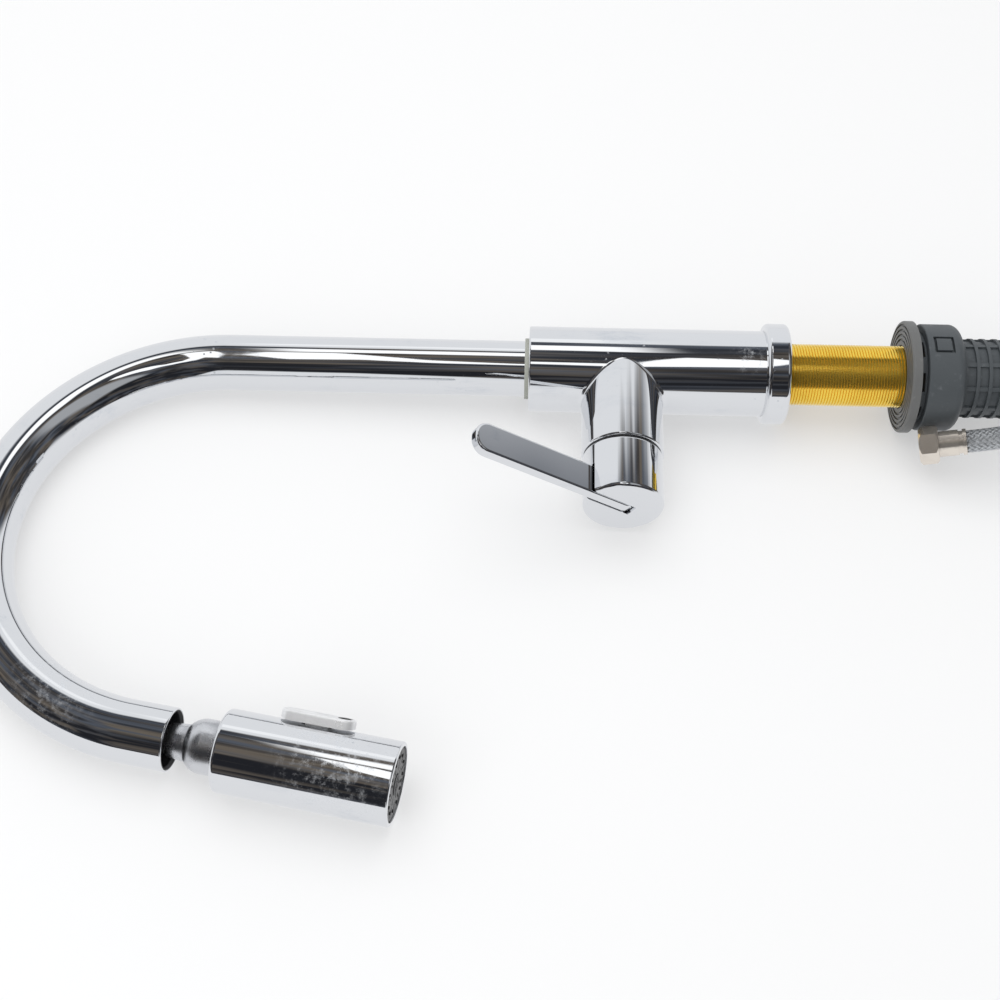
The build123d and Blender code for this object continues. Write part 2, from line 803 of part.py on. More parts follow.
def hose_crimp():
    crimp = rod(crimp_neck_r, hose_collar_length, crimp_low)
    crimp += rod(crimp_r, crimp_low, crimp_low + crimp_length)
    crimp += rod(flare_neck_r, crimp_low, flare_top)
    crimp += rod(hex_seat_r - free_gap, hex_low + hex_web + run_gap, flare_top)
    return hose_end_frame * (crimp - rod(crimp_bore_r, crimp_low, flare_top + over))


def hose_nut():
    cap_r = hex_cap * hex_flat
    nut = extrude(Pos(0, 0, hex_low) * RegularPolygon(hex_flat / 2, 6, major_radius=False), hex_length)
    nut &= turned(
        (0, hex_low), (hex_flat / 2, hex_low), (cap_r, hex_low + hex_chamfer),
        (cap_r, hex_top - hex_chamfer), (hex_flat / 2, hex_top), (0, hex_top),
    )
    nut -= rod(hex_bore_r, hex_top - hex_bore_length, hex_top + over)
    nut -= rod(hex_seat_r, hex_low + hex_web, hex_top)
    return hose_end_frame * (nut - rod(flare_neck_r + run_gap, hex_low - over, hex_top))


def hose_seal():
    seal = tube(hex_seat_r - free_gap, hose_seal_bore_r, flare_top, flare_top + hose_seal_thick)
    return hose_end_frame * seal


def hose_clip():
    first, second = (Vector(*hose_route[i]) for i in clip_points)
    span = Vector(second.X - first.X, second.Y - first.Y, 0)
    middle = (first + second) * 0.5
    turn = Vector(1, 0, 0).get_signed_angle(span, Vector(0, 0, 1))
    outline = SlotOverall(span.length + 2 * (hose_r + clip_end_wall), 2 * (hose_r + clip_wall))
    place = Pos(middle.X, middle.Y, middle.Z - clip_height / 2) * Rot(0, 0, turn)
    return place * extrude(outline, clip_height) - swept_hose(hose_r + seat_gap)


pieces = [
    base_flange, flange_gasket, valve_body, threaded_shank, cold_inlet_stub, hot_inlet_stub, hose_guide,
    thrust_washer, swivel_bush, spout_foot, spout_seals, lock_screw, spout_tube, outlet_liner, spray_hose,
    cartridge_body, cartridge_seals, fixed_disc, disc_carrier, cartridge_nut, glide_ring,
    handle_hub, hub_screw, lever_pin, lever_blade,
    head_shell, head_neck, dock_cone, hose_ferrule, swivel_nut, head_core, check_valve,
    spray_face, nozzle_inserts, aerator_insert, spray_toggle, toggle_pad, toggle_pin,
    nut_washer, nut_collar, nut_sleeve,
    supply_hose, hose_collar, hose_crimp, hose_nut, hose_seal, hose_clip,
]
os.makedirs("parts", exist_ok=True)
for piece in pieces:
    save(piece.__name__, piece())
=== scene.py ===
import bpy
import bmesh
import math
from mathutils import Matrix, Vector


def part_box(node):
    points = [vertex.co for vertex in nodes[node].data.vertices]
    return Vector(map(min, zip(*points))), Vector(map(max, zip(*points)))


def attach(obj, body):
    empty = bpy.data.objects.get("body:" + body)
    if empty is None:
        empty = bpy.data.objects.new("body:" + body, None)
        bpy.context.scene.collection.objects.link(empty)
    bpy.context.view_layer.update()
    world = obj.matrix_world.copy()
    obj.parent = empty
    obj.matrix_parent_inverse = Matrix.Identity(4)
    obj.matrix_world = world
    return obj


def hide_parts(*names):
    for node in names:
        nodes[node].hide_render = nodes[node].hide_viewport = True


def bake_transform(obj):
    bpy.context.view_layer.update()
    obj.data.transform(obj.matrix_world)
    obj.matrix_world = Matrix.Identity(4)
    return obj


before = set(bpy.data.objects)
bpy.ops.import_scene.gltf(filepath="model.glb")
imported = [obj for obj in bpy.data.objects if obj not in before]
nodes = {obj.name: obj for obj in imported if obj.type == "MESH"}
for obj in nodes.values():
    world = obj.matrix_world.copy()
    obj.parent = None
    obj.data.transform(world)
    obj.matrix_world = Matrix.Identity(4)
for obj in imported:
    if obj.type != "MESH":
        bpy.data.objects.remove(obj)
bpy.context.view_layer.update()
scene = bpy.context.scene
scene.view_settings.view_transform = "Standard"


# one wrapped socket, so that shader and geometry maths read as sums
class Sock:
    def __init__(self, graph, socket):
        self.graph = graph
        self.socket = socket

    def sum(self, operation, other=0.0, swap=False):
        first, second = (other, self) if swap else (self, other)
        return self.graph.node("ShaderNodeMath", {"operation": operation}, {0: first, 1: second})

    def __add__(self, other):
        return self.sum("ADD", other)

    __radd__ = __add__

    def __sub__(self, other):
        return self.sum("SUBTRACT", other)

    def __rsub__(self, other):
        return self.sum("SUBTRACT", other, True)

    def __mul__(self, other):
        return self.sum("MULTIPLY", other)

    __rmul__ = __mul__

    def __truediv__(self, other):
        return self.sum("DIVIDE", other)

    def also(self, name):
        return Sock(self.graph, self.socket.node.outputs[name])


class Graph:
    def __init__(self, tree):
        self.tree = tree
        self.tree.nodes.clear()

    def node(self, kind, settings=None, inputs=None, out=0):
        made = self.tree.nodes.new(kind)
        for key, value in (settings or {}).items():
            if key == "stops":
                ramp = made.color_ramp.elements
                ramp.remove(ramp[-1])
                ramp[0].position = value[0][0]
                for place, shade in value[1:]:
                    ramp.new(place)
                for element, (place, shade) in zip(ramp, value):
                    element.color = (*shade, 1) if isinstance(shade, tuple) else (shade, shade, shade, 1)
            else:
                setattr(made, key, value)
        for key, value in (inputs or {}).items():
            if isinstance(value, Sock):
                self.tree.links.new(value.socket, made.inputs[key])
            else:
                made.inputs[key].default_value = value
        return Sock(self, made.outputs[out]) if made.outputs else None

    def mix(self, factor, first, second):
        colours = {6: first, 7: second}
        for key, value in colours.items():
            if isinstance(value, tuple):
                colours[key] = (*value, 1)
        return self.node("ShaderNodeMix", {"data_type": "RGBA"}, {0: factor, **colours}, 2)

    def coords(self, scale=(1, 1, 1), turn=(0, 0, 0)):
        place = self.node("ShaderNodeTexCoord", out="Object")
        return self.node("ShaderNodeMapping", {"vector_type": "POINT"},
                         {"Vector": place, "Scale": scale, "Rotation": turn})

    def noise(self, where, scale, detail=3.0, rough=0.5):
        return self.node("ShaderNodeTexNoise", None,
                         {"Vector": where, "Scale": scale, "Detail": detail, "Roughness": rough})

    def range(self, value, low, high, first=0.0, second=1.0):
        return self.node("ShaderNodeMapRange", {"interpolation_type": "SMOOTHSTEP"},
                         {0: value, 1: low, 2: high, 3: first, 4: second})

    def bump(self, height, distance, strength=1.0):
        return self.node("ShaderNodeBump", None,
                         {"Height": height, "Distance": distance, "Strength": strength})


def material(name, build):
    made = bpy.data.materials.new(name)
    made.use_nodes = True
    graph = Graph(made.node_tree)
    shader = graph.node("ShaderNodeBsdfPrincipled", None, build(graph))
    graph.node("ShaderNodeOutputMaterial", None, {"Surface": shader})
    return made


def clothe(name, *wearers):
    for wearer in wearers:
        mesh = nodes[wearer].data
        mesh.materials.clear()
        mesh.materials.append(name)


# camera, fitted to the outlines in the photograph
cameraSet = {
    "place": (0.62177, -0.49131, 0.13228),
    "right": (-0.0077193, 0.0337518, -0.9994004),
    "down": (-0.5470446, -0.8367584, -0.0240337),
    "forward": (-0.8370679, 0.5465310, 0.0249229),
    "pixels": 1455.3,
}


def makeCamera(c):
    data = bpy.data.cameras.new("camera")
    data.sensor_width = 36
    data.lens = c["pixels"] * 36 / 1000
    data.clip_start = 0.01
    made = bpy.data.objects.new("camera", data)
    scene.collection.objects.link(made)
    sides = (Vector(c["right"]), -Vector(c["down"]), -Vector(c["forward"]))
    made.matrix_world = Matrix.Translation(c["place"]) @ Matrix(sides).transposed().to_4x4()
    scene.camera = made
    print("camera lens", round(data.lens, 1), "mm")


makeCamera(cameraSet)

# the faucet lies on a pale table, which is the plane behind it here
tableSet = {
    "through": (-0.0155, 0.0, 0.33),
    "slope": 0.0358,
    "reach": 6.0,
    "colour": (0.80, 0.805, 0.812),
    "glow": 0.42,
    "shine": 0.98,
    "mirrored": (0.86, 0.866, 0.88),
    "mirrorGlow": 0.85,
}


def makeTable(t):
    normal = Vector((1, 0, -t["slope"])).normalized()
    along = Vector((0, 1, 0))
    up = normal.cross(along)
    corners = [Vector(t["through"]) + along * a * t["reach"] + up * b * t["reach"]
               for a, b in ((-1, -1), (-1, 1), (1, 1), (1, -1))]
    mesh = bpy.data.meshes.new("table")
    faced = (corners[1] - corners[0]).cross(corners[2] - corners[0]).dot(normal)
    order = (0, 1, 2, 3) if faced > 0 else (3, 2, 1, 0)
    mesh.from_pydata(corners, [], [order])
    made = bpy.data.objects.new("table", mesh)
    scene.collection.objects.link(made)
    paint = bpy.data.materials.new("tablePaper")
    paint.use_nodes = True
    g = Graph(paint.node_tree)
    light = [g.node("ShaderNodeLightPath", out=name)
             for name in ("Is Camera Ray", "Is Glossy Ray", "Is Transmission Ray")]
    seen = light[0] * t["glow"] + (light[1] + light[2]).sum("MINIMUM", 1.0) * t["mirrorGlow"]
    paper = g.node("ShaderNodeBsdfDiffuse", None, {"Color": (*t["colour"], 1)})
    tint = g.mix(light[0], t["mirrored"], (1.0, 1.0, 1.0))
    glow = g.node("ShaderNodeEmission", None, {"Color": tint, "Strength": t["shine"]})
    lit = g.node("ShaderNodeMixShader", None, {0: seen, 1: paper, 2: glow})
    clear = g.node("ShaderNodeBsdfTransparent")
    behind = g.node("ShaderNodeNewGeometry", out="Backfacing")
    g.node("ShaderNodeOutputMaterial", None,
           {"Surface": g.node("ShaderNodeMixShader", None, {0: behind, 1: lit, 2: clear})})
    mesh.materials.append(paint)
    print("table made")


makeTable(tableSet)

# the room: plain for the eye and the light, with dark cloth and white cards for the chrome to show
roomSet = {
    "front": (0.8370679, -0.5465310, -0.0249229),
    "up": (0.5470446, 0.8367584, 0.0240337),
    "side": (-0.0077193, 0.0337518, -0.9994004),
    "fill": 0.78,
    "pale": (0.85, 0.862, 0.88),
    "clothDeep": (0.018, 0.019, 0.023),
    "clothWarm": (0.15, 0.128, 0.105),
    "clothBlue": (0.10, 0.112, 0.135),
    "screen": (0.40, 0.41, 0.425),
    "card": (1.28, 1.28, 1.28),
    "glow": (1.05, 1.06, 1.07),
    "ring": (47.0, 61.0),
    "rim": (77.0, 85.0),
    # edges in degrees from the front, for places from side to side:
    # the near card's two, and the cloth's lower one
    "cardIn": {-0.225: 40, -0.19: 18, -0.136: 20, -0.09: 11, -0.034: 8,
               0.04: 8, 0.09: 12, 0.136: 14, 0.165: 26, 0.19: 40},
    "cardOut": {-0.225: 20, -0.19: 44, -0.136: 44, -0.09: 22, -0.034: 14,
                0.04: 15, 0.09: 35, 0.136: 33, 0.165: 27, 0.19: 20},
    "clothLow": {-0.95: 84, -0.8: 72, -0.56: 65, -0.31: 63, -0.25: 40,
                 -0.16: 40, 0.15: 64, 0.4: 64, 0.7: 69, 0.95: 77},
    "reach": 1.0,
    # the cloth's upper edge, and how it climbs past two places to the side
    "clothHigh": 69,
    "nearClimb": (0.12, 14),
    "farClimb": (0.4, 40),
    "edgeSoft": 2.5,
    "farSoft": 10,
    "fold": 0.12,
    "rippleSize": 5.0,
    "ripple": 5.0,
}


def makeRoom(r):
    world = bpy.data.worlds.new("room")
    scene.world = world
    world.use_nodes = True
    g = Graph(world.node_tree)
    look = g.node("ShaderNodeTexCoord", out="Generated")

    def toward(name):
        return g.node("ShaderNodeVectorMath", {"operation": "DOT_PRODUCT"}, {0: look, 1: r[name]}, "Value")

    front, up, side = toward("front"), toward("up"), toward("side")
    ripple = g.noise(look, r["rippleSize"], 3) - 0.5
    facing = front.sum("MINIMUM", 1.0).sum("MAXIMUM", -1.0)
    angle = facing.sum("ARCCOSINE") * (180 / math.pi) + ripple * r["ripple"]
    above = g.range(up, -r["fold"], r["fold"])

    def between(low, high, soft):
        return g.range(angle - low, -soft, soft) * g.range(angle - high, -soft, soft, 1.0, 0.0)

    def edge(name):
        reach = r["reach"]
        stops = [((at + reach) / (2 * reach), degrees / 90) for at, degrees in r[name].items()]
        return g.node("ShaderNodeValToRGB", {"stops": stops}, {0: (side + reach) / (2 * reach)}) * 90.0

    def past(place):
        return (side - place).sum("MAXIMUM", 0.0)

    (near, nearRate), (far, farRate) = r["nearClimb"], r["farClimb"]
    edgeAbove = r["clothHigh"] + nearRate * past(near) + farRate * past(far)
    edgeBelow = edge("clothLow")
    soft = r["edgeSoft"] + r["farSoft"] * past(far)
    cloth = g.range((angle - (edgeBelow + (edgeAbove - edgeBelow) * above)) / soft, -1.0, 1.0, 1.0, 0.0)
    hue = g.mix(g.range(g.noise(look, 4.0, 1), 0.38, 0.62), r["clothWarm"], r["clothBlue"])
    depth = g.range(g.noise(look, 6.0, 2, 0.5), 0.34, 0.66) * 0.8
    shade = (depth + g.range(angle, 8.0, 24.0) * g.range(angle, 30.0, 60.0, 1.0, 0.35) * (1 - above) * 0.6)
    colour = g.mix(cloth, r["pale"], g.mix(shade.sum("MINIMUM", 1.0), hue, r["clothDeep"]))
    right = g.range(side, 0.2, 0.28) * g.range(side, 0.58, 0.72, 1.0, 0.0) * g.range(up, -0.12, 0.0)
    colour = g.mix(right * g.range(angle, 42.0, 52.0, 1.0, 0.0), colour, r["screen"])
    left = g.range(side, -0.20, -0.15) * g.range(side, 0.05, 0.11, 1.0, 0.0) * g.range(up, 0.0, 0.1)
    colour = g.mix(between(*r["ring"], 1.2) * left, colour, r["card"])
    colour = g.mix(between(*r["rim"], 1.5) * left, colour, r["glow"])
    colour = g.mix(between(edge("cardIn"), edge("cardOut"), 1.0) * g.range(up, 0.0, 0.04), colour, r["card"])
    light = {name: g.node("ShaderNodeLightPath", out=name)
             for name in ("Is Camera Ray", "Is Glossy Ray", "Is Transmission Ray")}
    shown = (light["Is Glossy Ray"] + light["Is Transmission Ray"]).sum("MINIMUM", 1.0)
    plain = g.mix(light["Is Camera Ray"], (r["fill"], r["fill"], r["fill"]), (1.0, 1.0, 1.0))
    surface = g.node("ShaderNodeBackground", None, {"Color": g.mix(shown, plain, colour), "Strength": 1.0})
    g.node("ShaderNodeOutputWorld", None, {"Surface": surface})
    print("room made")


makeRoom(roomSet)

lampSet = {
    "overhead": {"place": (1.3, 0.25, 0.25), "target": (0, -0.1, 0.15), "size": 1.4, "power": 9},
    "side": {"place": (0.7, -1.0, 0.75), "target": (0, -0.1, 0.15), "size": 0.9, "power": 4},
}


def makeLamps(lamps):
    for name, l in lamps.items():
        data = bpy.data.lights.new(name, "AREA")
        data.size = l["size"]
        data.energy = l["power"]
        made = bpy.data.objects.new(name, data)
        scene.collection.objects.link(made)
        made.location = l["place"]
        made.rotation_euler = (Vector(l["target"]) - Vector(l["place"])).to_track_quat("-Z", "Y").to_euler()
        made.visible_glossy = False
    print("lamps", len(lamps))


makeLamps(lampSet)


# finishes
chromeSet = {
    "clean": (0.80, 0.812, 0.832),
    "hazy": (0.58, 0.62, 0.68),
    "gloss": 0.03,
    "smear": 0.14,
    "spots": 0.22,
    # dried water: where, and how far it spreads
    "residue": [((0.017, -0.236, 0.218), 0.036), ((0.02, -0.005, 0.022), 0.012),
                ((0.015, -0.200, 0.352), 0.03)],
}


def chrome(g):
    c = chromeSet
    where = g.coords()
    cloud = g.noise(where, 28, 5, 0.6)
    smear = g.range(g.noise(g.coords(scale=(1, 1, 0.25), turn=(0.3, 0.5, 0.2)), 70, 6, 0.65), 0.5, 0.78)
    drops = g.node("ShaderNodeTexVoronoi", {"feature": "F1"},
                   {"Vector": where, "Scale": 260, "Randomness": 1.0})
    dry = g.range(drops, 0.10, 0.22, 1.0, 0.0) * g.range(cloud, 0.52, 0.7)
    patches = g.range(g.noise(where, 260, 6, 0.7), 0.46, 0.78)
    film = 0.0
    for middle, reach in c["residue"]:
        away = g.node("ShaderNodeVectorMath", {"operation": "DISTANCE"}, {0: where, 1: middle}, "Value")
        film = g.range(away, 0.1 * reach, reach, 1.0, 0.0) + film
    film = (film * patches).sum("MINIMUM", 1.0)
    haze = (smear * g.range(cloud, 0.4, 0.7) + dry * 0.5).sum("MINIMUM", 1.0).sum("MAXIMUM", film * 0.6)
    wave = g.noise(where, 16, 2, 0.4)
    return {
        "Base Color": g.mix(haze, c["clean"], c["hazy"]),
        "Metallic": 1 - film * 0.4,
        "Roughness": c["gloss"] + haze * c["smear"] + dry * c["spots"] + film * 0.16,
        "Normal": g.bump(wave, 0.0006, 0.12),
    }


brassSet = {"bright": (0.96, 0.71, 0.13), "deep": (0.90, 0.64, 0.10), "gloss": 0.13, "plated": 0.9}


def brass(g):
    where = g.coords()
    cloud = g.noise(where, 40, 3)
    lines = g.noise(g.coords(scale=(30, 30, 900)), 1.0, 2)
    return {
        "Base Color": g.mix(g.range(cloud, 0.35, 0.7), brassSet["bright"], brassSet["deep"]),
        "Metallic": brassSet["plated"],
        "Roughness": brassSet["gloss"] + g.range(cloud, 0.3, 0.8) * 0.1,
        "Normal": g.bump(lines, 0.00004, 0.2),
    }


def metal(light, dull, gloss, grain=320, plated=1.0):
    def build(g):
        where = g.coords()
        cloud = g.noise(where, 90, 5, 0.6)
        brushed = g.noise(g.coords(scale=(1, 1, 18)), grain, 2)
        return {
            "Base Color": g.mix(g.range(cloud, 0.4, 0.72), light, dull),
            "Metallic": plated,
            "Roughness": gloss + g.range(cloud, 0.3, 0.75) * 0.16,
            "Normal": g.bump(brushed, 0.0001, 0.3),
        }
    return build


def plastic(colour, dusty, gloss, grain=1400, depth=0.00006):
    def build(g):
        where = g.coords()
        cloud = g.noise(where, 60, 4, 0.6)
        pores = g.noise(where, grain, 2)
        dust = g.range(g.noise(where, 240, 5, 0.65), 0.55, 0.8) * g.range(cloud, 0.35, 0.7)
        return {
            "Base Color": g.mix(dust, colour, dusty),
            "Roughness": gloss + g.range(cloud, 0.3, 0.7) * 0.12 + dust * 0.2,
            "Normal": g.bump(pores, depth, 0.5),
        }
    return build


def ceramic(g):
    cloud = g.noise(g.coords(), 120, 3)
    return {
        "Base Color": g.mix(cloud, (0.86, 0.85, 0.81), (0.80, 0.78, 0.73)),
        "Roughness": 0.12 + cloud * 0.1,
    }


# yarn is the sleeve's dark thread colour; shine is a painted sheen, a lighter colour laid on each yarn crest
# where a highlight falls
sleeveSet = {"yarn": (0.045, 0.047, 0.052), "shine": (0.16, 0.165, 0.175), "threads": 44, "gloss": 0.42}


def sleeve(g):
    around = g.node("ShaderNodeSeparateXYZ", None, {0: g.node("ShaderNodeTexCoord", out="UV")}, 0)
    yarn = (around * (math.tau * sleeveSet["threads"])).sum("SINE") * 0.5 + 0.5
    fuzz = g.noise(g.coords(), 700, 3)
    return {
        # painted sheen: the raised crests of the yarn take the lighter shine colour
        "Base Color": g.mix(yarn * g.range(fuzz, 0.3, 0.7), sleeveSet["yarn"], sleeveSet["shine"]),
        "Roughness": sleeveSet["gloss"] + fuzz * 0.2,
        "Normal": g.bump(yarn, 0.00025, 0.7),
    }


chromePlate = material("chromePlate", chrome)
brassTurned = material("brassTurned", brass)
satinMetal = material("satinMetal", metal((0.60, 0.61, 0.62), (0.40, 0.41, 0.42), 0.3))
neckMetal = material("neckMetal", metal((0.68, 0.69, 0.715), (0.50, 0.51, 0.535), 0.2))
softChrome = material("softChrome", metal((0.84, 0.845, 0.855), (0.72, 0.725, 0.735), 0.26, 120, 0.5))
warmNickel = material("warmNickel", metal((0.82, 0.755, 0.675), (0.74, 0.675, 0.60), 0.13, 200, 0.86))
braidWire = material("braidWire", metal((0.57, 0.59, 0.61), (0.40, 0.415, 0.435), 0.3, 900, 0.7))
blackPlastic = material("blackPlastic", plastic((0.018, 0.018, 0.02), (0.09, 0.09, 0.09), 0.38))
darkPlastic = material("darkPlastic", plastic((0.064, 0.073, 0.08), (0.13, 0.14, 0.15), 0.46))
washerPlastic = material("washerPlastic", plastic((0.125, 0.127, 0.126), (0.21, 0.21, 0.205), 0.42))
greyPlastic = material("greyPlastic", plastic((0.17, 0.17, 0.172), (0.26, 0.26, 0.26), 0.5))
bushPlastic = material("bushPlastic", plastic((0.40, 0.41, 0.37), (0.52, 0.52, 0.48), 0.45))
softRubber = material("softRubber", plastic((0.02, 0.02, 0.021), (0.1, 0.1, 0.1), 0.6, 900))
discCeramic = material("discCeramic", ceramic)
hoseSleeve = material("hoseSleeve", sleeve)

finishes = {
    chromePlate: ("base_flange", "valve_body", "handle_hub", "lever_blade", "head_shell"),
    softChrome: ("spray_toggle",),
    brassTurned: ("cold_inlet_stub", "hot_inlet_stub", "spout_foot", "cartridge_nut", "swivel_nut"),
    satinMetal: ("lock_screw", "hub_screw", "lever_pin", "toggle_pin", "hose_ferrule"),
    neckMetal: ("head_neck", "dock_cone"),
    warmNickel: ("hose_crimp", "hose_nut", "hose_collar"),
    blackPlastic: ("hose_guide", "outlet_liner", "cartridge_body", "glide_ring", "head_core",
                   "aerator_insert", "hose_clip"),
    darkPlastic: ("nut_collar", "nut_sleeve"),
    washerPlastic: ("nut_washer",),
    greyPlastic: ("spray_face", "check_valve"),
    bushPlastic: ("swivel_bush", "thrust_washer"),
    softRubber: ("flange_gasket", "spout_seals", "cartridge_seals", "nozzle_inserts", "toggle_pad",
                 "hose_seal"),
    discCeramic: ("fixed_disc", "disc_carrier"),
}
for finish, wearers in finishes.items():
    clothe(finish, *wearers)
print("finishes", len(finishes))


# geometry trees: named sizes in, one painted mesh out
def startTree(name, sizes):
    tree = bpy.data.node_groups.new(name, "GeometryNodeTree")
    tree.interface.new_socket("Geometry", in_out="INPUT", socket_type="NodeSocketGeometry")
    for label, value in sizes.items():
        kind = "NodeSocketInt" if isinstance(value, int) else "NodeSocketFloat"
        tree.interface.new_socket(label, in_out="INPUT", socket_type=kind)
    tree.interface.new_socket("Geometry", in_out="OUTPUT", socket_type="NodeSocketGeometry")
    g = Graph(tree)
    entry = tree.nodes.new("NodeGroupInput")
    return g, {socket.name: Sock(g, socket) for socket in entry.outputs if socket.name}


def endTree(g, shape, finish):
    real = g.node("GeometryNodeRealizeInstances", None, {"Geometry": shape})
    smooth = g.node("GeometryNodeSetShadeSmooth", None, {"Geometry": real})
    painted = g.node("GeometryNodeSetMaterial", None, {"Geometry": smooth, "Material": finish})
    g.node("NodeGroupOutput", None, {"Geometry": painted})
    return g.tree


def grow(name, tree, sizes, start=None):
    holder = bpy.data.objects.new(name + "Start", start or bpy.data.meshes.new(name + "Start"))
    scene.collection.objects.link(holder)
    rule = holder.modifiers.new("rule", "NODES")
    rule.node_group = tree
    for item in tree.interface.items_tree:
        if item.in_out == "INPUT" and item.name in sizes:
            rule[item.identifier] = sizes[item.name]
    mesh = bpy.data.meshes.new_from_object(holder.evaluated_get(bpy.context.evaluated_depsgraph_get()))
    holder.modifiers.remove(rule)
    bpy.data.objects.remove(holder)
    work = bmesh.new()
    work.from_mesh(mesh)
    bmesh.ops.recalc_face_normals(work, faces=work.faces)
    work.to_mesh(mesh)
    work.free()
    made = bpy.data.objects.new(name, mesh)
    scene.collection.objects.link(made)
    print(name, len(mesh.polygons), "faces")
    return made


# threaded shank: a grid rolled into a tube, its rows set along one helix, in metres
threadSet = {
    "Low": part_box("threaded_shank")[0][2],
    "High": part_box("threaded_shank")[1][2],
    "Crest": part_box("threaded_shank")[1][0],
    "Root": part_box("threaded_shank")[1][0] - 0.0008,
    "Bore": 0.014,
    "Pitch": 0.0015,
    "Around": 72,
}


def threadTree(sizes, finish):
    g, size = startTree("helixThread", sizes)
    turns = ((size["High"] - size["Low"]) / size["Pitch"]).sum("CEIL") + 1
    rows = turns * 4 + 4
    sheet = g.node("GeometryNodeMeshGrid", None, {"Size X": 1.0, "Size Y": 1.0,
                                                  "Vertices X": size["Around"] + 1, "Vertices Y": rows})
    place = g.node("GeometryNodeInputPosition")
    around = g.node("ShaderNodeSeparateXYZ", None, {0: place}, 0) + 0.5
    row = ((g.node("ShaderNodeSeparateXYZ", None, {0: place}, 1) + 0.5) * (rows - 1)).sum("ROUND")
    climb = size["Low"] - size["Pitch"] + ((row - 1) / 4 + around) * size["Pitch"]
    crest = (row + 3).sum("MODULO", 4.0).sum("LESS_THAN", 1.5)
    fade = (g.range(climb, size["Low"] + size["Pitch"], size["Low"] + size["Pitch"] * 2)
            * g.range(climb, size["High"] - size["Pitch"] * 2, size["High"] - size["Pitch"], 1.0, 0.0))
    inside = row.sum("LESS_THAN", 0.5) + row.sum("GREATER_THAN", rows - 2.5)
    last = row.sum("GREATER_THAN", rows - 1.5)
    out = size["Root"] + (size["Crest"] - size["Root"]) * crest * fade
    out = out + (size["Bore"] - out) * inside
    height = climb.sum("MAXIMUM", size["Low"]).sum("MINIMUM", size["High"])
    height = height + (size["Low"] - height) * last
    turn = around * math.tau
    spot = g.node("ShaderNodeCombineXYZ", None,
                  {0: out * turn.sum("COSINE"), 1: out * turn.sum("SINE"), 2: height})
    rolled = g.node("GeometryNodeSetPosition", None, {"Geometry": sheet, "Position": spot})
    closed = g.node("GeometryNodeMergeByDistance", None, {"Geometry": rolled, "Distance": 0.00001})
    return endTree(g, closed, finish)


def makeThread(t):
    made = grow("shankThread", threadTree(t, brassTurned), t)
    made.data.set_sharp_from_angle(angle=math.radians(30))  # crests and roots mirror as flats
    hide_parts("threaded_shank")
    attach(made, "base")


makeThread(threadSet)

# supply hose: the route's points in millimetres, and a woven wire cover over it
hoseSet = {
    "route": [(-6, -8, -124), (-6, -8, -171), (-4.5, 18.5, -209.5), (-3, 51.4, -243.5), (-1.5, 48.9, -290.7),
              (0, 14.9, -323.6), (1.5, -32.3, -324.4), (3, -66, -293), (4.5, -66, -247), (5.5, -33, -210),
              (5, -20, -168), (8, -42, -128), (-2.9, -39.8, -92.8)],
    "diameter": 0.012,
    "length": 0.533,
    "smooth": 40,
    "cover": {"Steps": 673, "Strands": 12, "Turns": 14.0, "Core": 0.0053, "Ring": 0.00568, "Wave": 0.00013,
              "Thick": 0.00018, "Wide": 0.00108},
}


def routeLine(name, points, steps):
    curve = bpy.data.curves.new(name, "CURVE")
    curve.dimensions = "3D"
    spline = curve.splines.new("NURBS")
    spline.points.add(len(points) - 1)
    for slot, point in zip(spline.points, points):
        slot.co = (*[0.001 * v for v in point], 1)
    spline.order_u = 3
    spline.use_endpoint_u = True
    curve.resolution_u = steps
    holder = bpy.data.objects.new(name, curve)
    scene.collection.objects.link(holder)
    line = bpy.data.meshes.new_from_object(holder.evaluated_get(bpy.context.evaluated_depsgraph_get()))
    bpy.data.objects.remove(holder)
    return line


